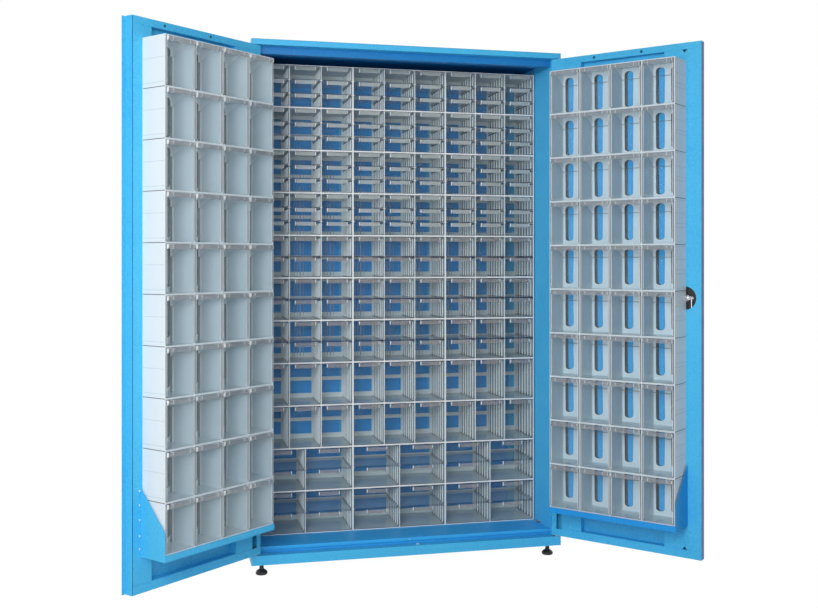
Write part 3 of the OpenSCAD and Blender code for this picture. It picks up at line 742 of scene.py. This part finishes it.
@dataclass
class DrawerTrim:
    """What is moulded onto the clear drawers, grip lugs and bars and divider ribs, with white lugs and ribs
    as painted highlights; also painted reflection streaks on the rear walls and lines of painted shade.
    """

    looks: Looks
    lug_w: float = 0.0035
    rib_w: float = 0.0026
    rib_out: float = 0.0026
    rib_pitch: float = 0.034
    rib_near: float = 0.022
    rib_drop: float = 0.006
    ribs: int = 6
    seam_h: float = 0.0014
    seam_w: float = 0.0018
    seam_near: float = 0.004
    line_w: float = 0.0012
    line_in: float = 0.001
    streak_low: float = 0.004
    streak_drop: float = 0.018
    reflection_streaks: tuple[tuple[float, float], ...] = ((0.36, 0.0015), (0.45, 0.002), (0.54, 0.004), (0.66, 0.0015))

    def start_pieces(self, body: str, kind: Kind) -> dict[str, Piece]:
        """Starts the pieces of one body.

        Args:
            body: the body's name.
            kind: the kind of its drawers.

        Returns:
            The empty pieces, by what they are.
        """
        # Lugs and ribs in white are painted highlights, the rears' streaks are painted reflections and the
        # shade lines are painted shade.
        parts = {
            "lugs": "clear_edge_highlight",
            "bars": "clear_bar" if kind is Kind.SMALL else "clear_label",
            "ribs": "post_line",
            "rears": "clear_reflection_streaks",
            "seams": "level_shade",
        }
        if kind in (Kind.TALL, Kind.WIDE):
            del parts["rears"]
        return {
            part: Piece(f"{body}_{part}", body, "clear_plastic", self.looks[look])
            for part, look in parts.items()
        }

    def add_grip(self, pieces: dict[str, Piece], x: float, w: float, top: float) -> None:
        """Adds a grip's lugs, white as painted highlights, its bar and lines of painted shade at the bar's
        ends.

        Args:
            pieces: the body's pieces.
            x: the drawer's left side.
            w: its width.
            top: the grip's top.
        """
        s = SIZES
        x0 = x + (w - s.grip_w) / 2
        x1 = x0 + s.grip_w
        face, foot = s.module_y - s.grip_d, top - s.grip_h
        for start in (x0 - 3 * HAIR, x1 + 3 * HAIR - self.lug_w):
            pieces["lugs"].bar(s.grip_side(s.module_y, -1, top), start, start + self.lug_w)
        pieces["bars"].box((x0 + self.lug_w, face - 4 * HAIR, foot), (x1 - self.lug_w, face - HAIR, top))
        for dark in (x0 + self.lug_w, x1 - self.lug_w - self.line_w):
            pieces["seams"].box((dark, face - 5 * HAIR, foot), (dark + self.line_w, face - HAIR, top))

    def add_drawer(self, pieces: dict[str, Piece], x: float, z: float, w: float, h: float) -> None:
        """Adds one drawer's trim.

        Args:
            pieces: the body's pieces.
            x: the drawer's left side.
            z: its bottom.
            w: its width.
            h: its height.
        """
        s = SIZES
        y, top = s.module_y, z + h
        self.add_grip(pieces, x, w, top - s.grip_drop)
        floor, corner = z + s.drawer_wall, x + w - s.drawer_wall
        # The ribs are bright white: painted highlights along the side walls.
        for n in range(self.ribs):
            near = y + self.rib_near + n * self.rib_pitch
            for left in (x + s.drawer_wall, corner - self.rib_out):
                pieces["ribs"].box(
                    (left, near, floor), (left + self.rib_out, near + self.rib_w, top - self.rib_drop)
                )
        rear = y + s.module_d - s.rear_wall - s.drawer_behind - s.drawer_wall
        seams = pieces["seams"]
        # Painted reflections: bright streaks on the rear wall.
        if "rears" in pieces:
            for share, streak_w in self.reflection_streaks:
                at = x + share * w
                pieces["rears"].box(
                    (at, rear - 4 * HAIR, z + self.streak_low),
                    (at + streak_w, rear - HAIR, top - self.streak_drop),
                )
        else:
            seams.box(
                (x + self.line_in, y - 4 * HAIR, top - self.line_w),
                (x + w - self.line_in, y + 2 * HAIR, top - HAIR),
            )
        # Painted shade: dark lines along the drawer's bottom front and its floor's right corner; drawers
        # without streaks also get one along the top front.
        seams.box((x + 5 * HAIR, y - 3 * HAIR, z), (x + w - 5 * HAIR, y + 3 * HAIR, z + self.seam_h))
        seams.box((corner - self.seam_w, y + self.seam_near, floor), (corner, rear, floor + self.seam_w))

    def build(self) -> None:
        """Builds the trim of all drawers, one set of pieces for each body."""
        s = SIZES
        bodies: dict[str, dict[str, Piece]] = {}
        for row, kind in enumerate(ROWS):
            columns, levels = kind.value
            level_h = s.cell_h / levels
            h = level_h - s.seat - s.drawer_over - (s.ledge_t if levels > 1 else 0.0)
            w = s.cell_w(kind) - 2 * s.drawer_side
            for module, column, level in product(range(s.modules_across), range(columns), range(levels)):
                body = LOOSE.get((row, module, column, level), f"drawers_{kind.name.lower()}")
                if body not in bodies:
                    bodies[body] = self.start_pieces(body, kind)
                x = s.cell_left(kind, module, column) + s.drawer_side
                z = s.row_bottom(row) + s.wall + level * level_h + s.seat
                self.add_drawer(bodies[body], x, z, w, h)
        for pieces in bodies.values():
            for piece in pieces.values():
                piece.finish()


@dataclass
class ModuleTrim:
    """The drawer modules' painted shade: dark runner strips under the ledges, dark channels on the side walls
    and dark lines at their joints and levels; and the stacking studs.
    """

    looks: Looks
    band_t: float = 0.0005
    band_h: float = 0.006
    channels: int = 6
    channel_near: float = 0.012
    channel_pitch: float = 0.034
    channel_w: float = 0.007
    channel_in: float = 0.003
    runner_near: float = 0.003
    runner_far: float = 0.004
    runner_z: float = 0.0075
    runner_h: float = 0.002
    joint_h: float = 0.0012
    joint_d: float = 0.002
    knob_out: float = 0.0012
    knob_low: float = 0.0035
    knob_high: float = 0.0015
    stud_w: float = 0.006
    stud_off: float = 0.032
    stud_out: float = 0.0026
    stud_low: float = 0.0036
    stud_taper: float = 0.0008
    stud_face: float = 0.0022

    def add_walls(self, pieces: dict[str, Piece], x: float, right: float, bottom: float, kind: Kind) -> None:
        """Adds a cell's painted shade: dark channels on its right wall, a dark line at its upper joint, and
        the dark runner strip of a higher cell.

        Args:
            pieces: the pieces, by what they are.
            x: the cell's left side.
            right: its right side.
            bottom: the module's bottom.
            kind: the kind of drawer.
        """
        s = SIZES
        low, high = bottom + s.wall, bottom + s.module_h - s.wall
        for n in range(self.channels):
            near = s.module_y + self.channel_near + n * self.channel_pitch
            pieces["channels"].box(
                (right - self.band_t, near, low + self.channel_in),
                (right - HAIR, near + self.channel_w, high - self.channel_in),
            )
        if kind is not Kind.SMALL:
            foot = low + self.runner_z
            pieces["runner_shadows"].box(
                (right - self.band_t, s.module_y + self.runner_near, foot),
                (right, s.module_y + s.module_d - self.runner_far, foot + self.runner_h),
            )
        pieces["joints"].box(
            (x, s.module_y - 2 * HAIR, high - self.joint_h), (right, s.module_y + self.joint_d, high - HAIR)
        )

    def add_level(self, pieces: dict[str, Piece], x: float, right: float, z: float, kind: Kind) -> None:
        """Adds the painted shadows under a level on both walls, the painted shade line along it and the knobs
        at its ends.

        Args:
            pieces: the pieces, by what they are.
            x: the cell's left side.
            right: its right side.
            z: the level's height.
            kind: the kind of drawer.
        """
        s = SIZES
        if kind is Kind.MEDIUM:
            pieces["joints"].box(
                (x + 5 * HAIR, s.module_y - 4 * HAIR, z - self.joint_d),
                (right - 5 * HAIR, s.module_y - HAIR, z + HAIR),
            )
        if kind is not Kind.SMALL:
            for end in (x - s.wall - 4 * HAIR, right - 4 * HAIR):
                pieces["studs"].box(
                    (end, s.module_y - self.knob_out, z - self.knob_low),
                    (end + s.wall + 8 * HAIR, s.module_y, z + self.knob_high),
                )
        for edge in (x, right - self.band_t):
            pieces["runner_shadows"].box(
                (edge, s.module_y + self.runner_near, z - s.ledge_t - self.band_h),
                (edge + self.band_t, s.module_y + s.module_d - self.runner_far, z - s.ledge_t),
            )

    def add_studs(self, studs: Piece, middle: float, bottom: float) -> None:
        """Adds the two stacking studs under a cell.

        Args:
            studs: the piece that takes them.
            middle: the cell's middle.
            bottom: the module's bottom.
        """
        s = SIZES
        face = s.module_y - self.stud_out
        outline = [
            (s.module_y, bottom - self.stud_low),
            (face, bottom - self.stud_low + self.stud_taper),
            (face, bottom + self.stud_face),
            (s.module_y, bottom + s.wall + 2 * HAIR),
        ]
        for off in (-self.stud_off, self.stud_off):
            studs.bar(outline, middle + off - self.stud_w / 2, middle + off + self.stud_w / 2)

    def build(self) -> None:
        """Builds the trim of all modules."""
        s = SIZES
        # All three are painted shade: shadows under the ledges, dark channels, and dark lines at joints and
        # levels.
        parts = {"runner_shadows": "runner_shade", "channels": "channel_shade", "joints": "level_shade"}
        pieces = {
            part: Piece(f"module_{part}", "case", "grey_frame", self.looks[look])
            for part, look in parts.items()
        }
        pieces["studs"] = Piece("module_studs", "case", "white_frame", self.looks["white_frame"])
        for row, kind in enumerate(ROWS):
            columns, levels = kind.value
            bottom = s.row_bottom(row)
            for module, column in product(range(s.modules_across), range(columns)):
                x = s.cell_left(kind, module, column)
                right = x + s.cell_w(kind)
                self.add_walls(pieces, x, right, bottom, kind)
                for level in range(1, levels):
                    self.add_level(pieces, x, right, bottom + s.wall + level * s.cell_h / levels, kind)
                self.add_studs(pieces["studs"], (x + right) / 2, bottom)
        for piece in pieces.values():
            piece.finish()


@dataclass
class BinTrim:
    """What is moulded onto the clear bins of one door: grips, posts and stub axles, whose near-white lugs,
    axles and posts are painted highlights; white lines in the left door's rear corners as painted highlights;
    and dark lines of painted shade.
    """

    looks: Looks
    side: Side
    lug_w: float = 0.003
    inner_lugs: tuple[float, float] = (0.17, 0.83)
    pivot_h: float = 0.0045
    line_in: float = 0.001
    line_h: float = 0.0012
    post_w: float = 0.0024
    post_in: float = 0.0028
    dark_w: float = 0.0027
    dark_out: float = 0.0006
    corner_w: float = 0.0025
    corner_d: float = 0.0045
    shade_in: float = 0.0034
    shade_w: float = 0.0076
    axle_in: float = 0.008
    axle_out: float = 0.0012
    axle_radii: tuple[float, float] = (0.0035, 0.003)

    def add_grip(self, pieces: dict[str, Piece], x: float, w: float, top: float) -> None:
        """Adds a grip's four lugs and its bar.

        Args:
            pieces: the row's pieces.
            x: the bin's side at the hinge.
            w: its width.
            top: the grip's top.
        """
        s = SIZES
        x0, x1 = x + s.bin_grip_side, x + w - s.bin_grip_side
        near, far = (x0 + share * (x1 - x0) for share in self.inner_lugs)
        outline = s.grip_side(s.stack_front, 1, top)
        for start in (x0 - 3 * HAIR, near, far - self.lug_w, x1 + 3 * HAIR - self.lug_w):
            pieces["lugs"].bar(outline, start, start + self.lug_w)
        face = s.stack_front + s.grip_d
        pieces["bars"].box((x0, face + HAIR, top - s.grip_h), (x1, face + 4 * HAIR, top))

    def add_bin(self, pieces: dict[str, Piece], x: float, w: float, bottom: float) -> None:
        """Adds one bin's trim.

        Args:
            pieces: the row's pieces.
            x: the bin's side at the hinge.
            w: its width.
            bottom: its bottom.
        """
        s = SIZES
        y, top = s.stack_front, bottom + s.bin_h - s.grip_drop
        self.add_grip(pieces, x, w, top)
        lines, low = pieces["rims"], bottom + self.pivot_h
        rear, rim = y - s.bin_d, bottom + s.bin_rear_h
        # Painted shade: a dark line along the top of the rear wall.
        lines.box(
            (x + self.line_in, rear - 3 * HAIR, rim - self.line_h),
            (x + w - self.line_in, rear + s.drawer_wall + 2 * HAIR, rim + 2 * HAIR),
        )
        # Posts in near-opaque white are painted highlights; the dark lines beside the bin's sides are painted
        # shade.
        far_post, far_dark = w - self.post_in - self.post_w, w + self.dark_out - self.dark_w
        for post, dark in ((x + self.post_in, x - self.dark_out), (x + far_post, x + far_dark)):
            pieces["posts"].box((post, y - 2 * HAIR, low), (post + self.post_w, y + 3 * HAIR, top - s.grip_h))
            lines.box((dark, y - 2 * HAIR, low), (dark + self.dark_w, y + 2 * HAIR, top))
        # Left door only: a white line in the rear corner as a painted highlight, with a band of painted shade
        # beside it.
        if "corners" in pieces:
            pieces["corners"].box(
                (x + HAIR, rear + HAIR, bottom), (x + HAIR + self.corner_w, rear + self.corner_d, rim)
            )
            shade = x + self.shade_in
            lines.box((shade, rear - 4 * HAIR, bottom), (shade + self.shade_w, rear - HAIR, rim))
        # The stub axles take the lugs' near-white painted highlight.
        for edge, out in ((x + s.drawer_wall, self.axle_out), (x + w - s.drawer_wall, -self.axle_out)):
            start = (edge, y - self.axle_in, bottom + self.axle_in)
            pieces["lugs"].cone(start, Vector((out, 0.0, 0.0)), self.axle_radii, 10)

    def build(self) -> None:
        """Builds the trim of all rows of one door."""
        s = SIZES
        # The rims piece holds only lines of painted shade; the lugs, posts and corners are white as painted
        # highlights.
        parts = {"lugs": "clear_edge_highlight", "bars": "clear_grip", "rims": "runner_shade", "posts": "clear_rib_highlight"}
        if self.side is Side.LEFT:
            parts["corners"] = "post_line"
        place = s.door_matrix(self.side)
        for row in range(1, s.bin_rows + 1):
            body = f"bins_{self.side.value}_{row:02d}"
            pieces = {
                part: Piece(f"{body}_{part}", body, "clear_plastic", self.looks[look], place)
                for part, look in parts.items()
            }
            bottom = s.stack_z + (s.bin_rows - row) * s.row_pitch + s.wall + s.seat
            for column in range(s.bin_cols):
                x = s.bin_left(column) + s.drawer_side
                self.add_bin(pieces, x, s.bin_cell_w - 2 * s.drawer_side, bottom)
            for piece in pieces.values():
                piece.finish()


@dataclass
class DoorTrim:
    """The finer things on one door: slot rims; painted shadows in the slots and painted shade on the skin
    behind them; painted shade in the joints and grooves of the frames; a painted shadow along the seam, and
    tabs; painted shade on the right door's end.
    """

    looks: Looks
    side: Side
    rim_w: float = 0.002
    rim_out: float = 0.0008
    shade_w: float = 0.008
    shade_in: float = 0.004
    shadow_deep: float = 0.0017
    back_share: float = 0.7
    left_grooves: tuple[float, ...] = (0.014, 0.095)
    right_grooves: tuple[float, ...] = (0.061, 0.075, 0.112, 0.160)
    groove_h: float = 0.0016
    side_near: float = 0.003
    groove_far: float = 0.002
    joint_far: float = 0.001
    joint_h: float = 0.0024
    seam_at: float = 0.5852
    seam_w: float = 0.0026
    seam_in: float = 0.004
    tab_at: float = 0.5535
    tab_w: float = 0.0035
    tab_out: float = 0.001
    tab_half: float = 0.003
    tab_top: float = 0.0022
    tabs_z: tuple[float, ...] = (0.2323, 0.2748, 0.3271, 0.3762, 0.422)
    end_near: float = 0.0035
    end_far: float = 0.001
    end_in: float = 0.002

    def start(self, name: str, slot: str, look: str) -> Piece:
        """Starts a piece on this door, in the door's own frame.

        Args:
            name: the piece's name.
            slot: the record's material slot.
            look: its finish's name.

        Returns:
            The empty piece.
        """
        return Piece(name, f"{self.side.value}_door", slot, self.looks[look], SIZES.door_matrix(self.side))

    def build_rims(self) -> None:
        """Builds the raised rims round the slots behind the bins."""
        s = SIZES
        rims = self.start(f"slot_rims_{self.side.value}", "white_frame", "white_frame")
        wall_y = s.door_t + s.seat + s.rear_wall
        for middle, low, high in s.slots():
            straight = (high - low) / 2 - s.slot_w / 2
            edges: list[bmesh.types.BMEdge] = []
            for radius in (s.slot_w / 2, s.slot_w / 2 + self.rim_w):
                centre = (middle, wall_y, (low + high) / 2)
                edges += rims.slot_ring(centre, radius, straight, -(self.shade_w + 3 * HAIR))
            ring = bmesh.ops.bridge_loops(rims.mesh, edges=edges)["faces"]
            rims.thicken(ring, (0.0, self.rim_out, 0.0))
        rims.finish()

    def build_painted_shadows(self) -> None:
        """Builds a painted shadow in each slot: dark sheets round it and down into it, widest at its hinge
        side.
        """
        s = SIZES
        painted_shadows = self.start(f"slot_collars_{self.side.value}", "blue_enamel", "slot_shade")
        wall_y = s.door_t + s.seat + s.rear_wall
        face, inner = 3 * HAIR, (self.shade_in, -HAIR)
        rings = ((-self.shade_w, 0.0, face), (*inner, face), (*inner, -self.shadow_deep))
        for middle, low, high in s.slots():
            edges: list[bmesh.types.BMEdge] = []
            for left, right, out in rings:
                centre = Vector((middle, wall_y + out, (low + high) / 2))
                straight = (high - low) / 2 - s.slot_w / 2
                ring = painted_shadows.slot_ring(centre, s.slot_w / 2, straight, left, right)
                if edges:
                    bmesh.ops.bridge_loops(painted_shadows.mesh, edges=edges + ring)
                edges = ring
        bmesh.ops.recalc_face_normals(painted_shadows.mesh, faces=painted_shadows.mesh.faces)
        painted_shadows.finish()

    def build_back_shades(self) -> None:
        """Builds painted shade on the door's skin behind each slot: a deeper copy of the enamel."""
        s = SIZES
        back_shades = self.start(f"slot_backs_{self.side.value}", "blue_enamel", "slot_shade_enamel")
        half = self.back_share * s.slot_w
        for middle, low, high in s.slots():
            back_shades.box((middle - half, s.door_t - HAIR, low), (middle + half, s.door_t + 2 * HAIR, high))
        back_shades.finish()

    def build_grooves(self) -> None:
        """Builds painted shade in the moulded grooves across the frames' free sides: darker lines."""
        s = SIZES
        lines = self.start(f"frame_grooves_{self.side.value}", "grey_frame", "groove_shade")
        edge = s.stack_edge + s.stack_w
        near, far = s.door_t + self.side_near, s.stack_front - self.groove_far
        for row in range(s.bin_rows):
            for up in self.left_grooves if self.side is Side.LEFT else self.right_grooves:
                z = s.stack_z + row * s.row_pitch + up
                lines.box((edge - 4 * HAIR, near, z), (edge + 3 * HAIR, far, z + self.groove_h))
        lines.finish()

    def build_joint_shades(self) -> None:
        """Builds painted shade in the joints between the frames, where they show on the stack's free side:
        dark bands wider than the gaps.
        """
        s = SIZES
        joints = self.start(f"frame_joints_{self.side.value}", "grey_frame", "frame_joint")
        edge = s.stack_edge + s.stack_w
        near, far = s.door_t + self.side_near, s.stack_front - self.joint_far
        for row in range(1, s.bin_rows):
            z = s.stack_z + row * s.row_pitch - s.seat / 2
            low, high = z - self.joint_h / 2, z + self.joint_h / 2
            joints.bar([(near, low), (far, low), (far, high), (near, high)], edge - 5 * HAIR, edge + 2 * HAIR)
        joints.finish()

    def build_seam(self) -> None:
        """Builds a painted shadow along the seam behind the left door's cover strip, and the tabs beside its
        tray.
        """
        s = SIZES
        seam = self.start("door_seam", "blue_enamel", "fold_shade")
        seam.box(
            (self.seam_at - self.seam_w, s.door_t - 6 * HAIR, s.door_z + self.seam_in),
            (self.seam_at, s.door_t + 2 * HAIR, s.door_top - self.seam_in),
        )
        seam.finish()
        tabs = self.start("tray_tabs", "blue_enamel", "post_line")
        face = s.door_t + self.tab_out
        for z in self.tabs_z:
            lower, upper = (s.door_t, z - self.tab_half), (s.door_t, z + self.tab_half)
            outline = [lower, (face, z - self.tab_top), (face, z + self.tab_top), upper]
            tabs.bar(outline, self.tab_at, self.tab_at + self.tab_w)
        tabs.finish()

    def build_end(self) -> None:
        """Builds painted shade on the right door's end face: a darker blue sheet."""
        s = SIZES
        end = self.start("door_end", "blue_enamel", "end_shade")
        end.box(
            (s.right_w - 2 * HAIR, self.end_near, s.door_z + self.end_in),
            (s.right_w + 2 * HAIR, s.door_t - self.end_far, s.door_top - self.end_in),
        )
        end.finish()

    def build(self) -> None:
        """Builds everything on this door."""
        self.build_rims()
        self.build_painted_shadows()
        self.build_back_shades()
        self.build_grooves()
        self.build_joint_shades()
        if self.side is Side.LEFT:
            self.build_seam()
        else:
            self.build_end()


@dataclass
class CaseTrim:
    """The finer things in the case: a screw in the floor's lip, a bracket and two thin painted sheets,
    painted shade on the back's inner face and painted light on the right wall's inner face.
    """

    looks: Looks
    lip_z: float = 0.098
    lip_screw: float = 0.0035
    bracket_left: float = 0.5665
    bracket_right: float = 0.5785
    bracket_near: float = 0.142
    bracket_far: float = 0.19
    bracket_t: float = 0.0015
    bracket_h: float = 0.006
    bracket_screw: float = 0.0022
    screw_side: float = 0.004
    screw_end: float = 0.009
    painted_x: float = 0.577
    painted_low: float = 0.1
    painted_high: float = 1.948
    painted_near: float = 0.035

    def build_bracket(self) -> None:
        """Builds the bracket on the floor, at the foot of the right wall."""
        bracket = Piece("floor_bracket", "case", "zinc", self.looks["zinc"])
        left, right, low = self.bracket_left, self.bracket_right, SIZES.floor_z
        top = low + self.bracket_t
        bracket.box((left, self.bracket_near, low), (right, self.bracket_far, top))
        bracket.box(
            (right - self.bracket_t, self.bracket_near, low + 5 * HAIR),
            (right, self.bracket_far, low + self.bracket_h),
        )
        for y in (self.bracket_near + self.screw_end, self.bracket_far - self.screw_end):
            bracket.screw((left + self.screw_side, y, top), (0.0, 0.0, 1.0), self.bracket_screw)
        bracket.finish()

    def build_painted_sheets(self) -> None:
        """Builds thin sheets on the inner faces of the back and the right wall: a deeper copy of the enamel
        on the back as painted shade, and a lighter copy on the wall as painted light.
        """
        s = SIZES
        back = Piece("back_painted_shade", "case", "blue_enamel", self.looks["back_shade_enamel"])
        back.box(
            (-self.painted_x, s.back_y - 4 * HAIR, self.painted_low),
            (self.painted_x, s.back_y - HAIR, self.painted_high),
        )
        back.finish()
        wall = Piece("wall_painted_light", "case", "blue_enamel", self.looks["wall_light_enamel"])
        wall.box(
            (s.wall_x - 3 * HAIR, self.painted_near, self.painted_low),
            (s.wall_x + 2 * HAIR, s.module_y, self.painted_high),
        )
        wall.finish()

    def build(self) -> None:
        """Builds the case's small parts."""
        screw = Piece("lip_screw", "case", "zinc", self.looks["zinc"])
        screw.screw((0.0, SIZES.case_front, self.lip_z), (0.0, -1.0, 0.0), self.lip_screw)
        screw.finish()
        self.build_bracket()
        self.build_painted_sheets()


@dataclass
class Studio:
    """The white floor and surroundings, the soft lamps and the camera."""

    floor_half: float = 9.0
    floor_greys: tuple[float, float] = (0.86, 0.88)
    glow: float = 1.06
    glow_share: float = 0.93
    lens: float = 45.19
    eye: Point = (-0.92504, -3.83204, 1.17575)
    turn: float = -13.42
    shift_y: float = -0.0532
    surround: float = 0.2
    surround_colour: Rgba = (0.97, 0.985, 1.0, 1.0)

    def white_for_camera(self, tree: bpy.types.NodeTree) -> Socket:
        """Tells camera, glossy and transmission rays from the others.

        Args:
            tree: the node tree to add to.

        Returns:
            A socket that is 1 for those rays and 0 for the others.
        """
        rays = tree.nodes.new("ShaderNodeLightPath").outputs
        first = calculated(tree, "MAXIMUM", rays["Is Camera Ray"], rays["Is Glossy Ray"])
        return calculated(tree, "MAXIMUM", first, rays["Is Transmission Ray"])

    def make_world(self) -> None:
        """Surrounds the object with plain white."""
        world = bpy.data.worlds.new("studio")
        world.use_nodes = True
        bpy.context.scene.world = world
        tree = world.node_tree
        tree.nodes.clear()
        lights = []
        for colour, strength in ((self.surround_colour, self.surround), ((1.0, 1.0, 1.0, 1.0), 1.0)):
            light = tree.nodes.new("ShaderNodeBackground")
            light.inputs["Color"].default_value = colour
            light.inputs["Strength"].default_value = strength
            lights.append(light.outputs["Background"])
        mix_shaders(tree, self.white_for_camera(tree), *lights, tree.nodes.new("ShaderNodeOutputWorld"))

    def make_floor(self) -> None:
        """Lays the white floor, which keeps a faint shadow of the object."""
        grid = bmesh.new()
        bmesh.ops.create_grid(grid, x_segments=2, y_segments=2, size=self.floor_half)
        mesh = bpy.data.meshes.new("studio_floor")
        grid.to_mesh(mesh)
        grid.free()
        floor = bpy.data.objects.new("studio_floor", mesh)
        bpy.context.scene.collection.objects.link(floor)
        shader = Shader("studio_floor")
        shader.put(Roughness=0.9)
        first, second = ((grey, grey, grey, 1.0) for grey in self.floor_greys)
        shader.paint(shader.ranged(shader.noise(30, 3), 0, 1), first, second)
        glow = shader.tree.nodes.new("ShaderNodeEmission")
        glow.inputs["Color"].default_value = (1.0, 1.0, 1.0, 1.0)
        glow.inputs["Strength"].default_value = self.glow
        share = calculated(shader.tree, "MULTIPLY", self.white_for_camera(shader.tree), self.glow_share)
        mix_shaders(
            shader.tree, share, shader.surface.outputs["BSDF"], glow.outputs["Emission"], shader.output
        )
        mesh.materials.append(shader.material)

    def make_lamp(self, name: str, place: Point, aim: Point, size: float, power: float) -> None:
        """Hangs one square soft lamp.

        Args:
            name: the lamp's name.
            place: where it hangs.
            aim: the point that it faces.
            size: the length of its sides.
            power: its power in watts.
        """
        data = bpy.data.lights.new(name, "AREA")
        data.shape = "SQUARE"
        data.size = size
        data.energy = power
        lamp = bpy.data.objects.new(name, data)
        lamp.location = place
        lamp.rotation_euler = (Vector(aim) - Vector(place)).to_track_quat("-Z", "Y").to_euler()
        lamp.visible_camera = False
        bpy.context.scene.collection.objects.link(lamp)

    def make_camera(self) -> None:
        """Sets the camera where the photograph was taken from."""
        data = bpy.data.cameras.new("camera")
        data.lens = self.lens
        data.shift_y = self.shift_y
        camera = bpy.data.objects.new("camera", data)
        camera.location = self.eye
        camera.rotation_euler = (math.radians(90), 0.0, math.radians(self.turn))
        bpy.context.scene.collection.objects.link(camera)
        bpy.context.scene.camera = camera

    def build(self) -> None:
        """Makes the whole studio."""
        self.make_camera()
        self.make_world()
        self.make_floor()
        self.make_lamp("key", (-1.45, -3.25, 1.85), (-0.1, 0.1, 1.0), 2.0, 96)
        self.make_lamp("back_left", (-3.4, 3.2, 2.2), (0.0, 0.3, 1.0), 2.0, 60)
        self.make_lamp("back_right", (3.4, 2.6, 2.2), (0.2, 0.3, 1.0), 2.0, 60)
        LOG.info("built the studio")


def main() -> None:
    """Builds the studio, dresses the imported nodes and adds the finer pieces."""
    logging.basicConfig(level=logging.INFO, format="%(name)s: %(message)s")
    scene = bpy.context.scene
    scene.view_settings.view_transform = "Standard"
    scene.cycles.transparent_max_bounces = 48
    Studio().build()
    looks = {finish.name: finish.make() for finish in FINISHES}
    dress_nodes(looks)
    DrawerTrim(looks).build()
    ModuleTrim(looks).build()
    for side in Side:
        BinTrim(looks, side).build()
        DoorTrim(looks, side).build()
    CaseTrim(looks).build()


if __name__ == "__main__":
    main()
